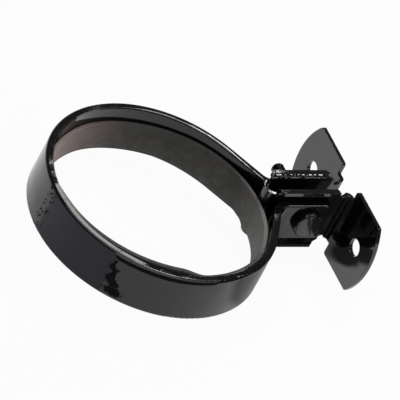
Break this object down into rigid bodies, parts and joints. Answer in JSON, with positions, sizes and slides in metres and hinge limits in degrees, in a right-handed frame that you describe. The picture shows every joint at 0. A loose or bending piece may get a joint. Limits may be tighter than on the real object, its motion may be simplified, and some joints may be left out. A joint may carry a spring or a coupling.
{
  "type": "downpipe bracket",
  "caption": "Gloss black steel strap clamp with a rubber liner and a folded wall bracket with screw wings, for holding a round rainwater downpipe off a wall.",
  "frame": {"origin": "on the pipe's axis at the strap's mid height", "axes": "+Z along the pipe, +X square to the wall and towards it, +Y across the wall towards the nut end of the clamp screw"},
  "size_m": [0.1531, 0.1122, 0.039],
  "materials": {
    "strap_paint": "gloss black paint",
    "bracket_paint": "gloss black paint",
    "screw_paint": "black paint over steel",
    "nut_paint": "black paint over steel",
    "liner_rubber": "matte dark grey"
  },
  "bodies": {
    "bracket": {"clamp_strap": "strap_paint", "wall_bracket": "bracket_paint", "rubber_liner": "liner_rubber", "clamp_nut": "nut_paint"},
    "screw": {"clamp_screw": "screw_paint"}
  },
  "joints": [
    {"name": "clamp_screw_turn", "type": "hinge", "parent": "bracket", "child": "screw", "pos_m": [0.0765, 0, 0.002], "axis": [0, 1, 0], "continuous": true}
  ]
}
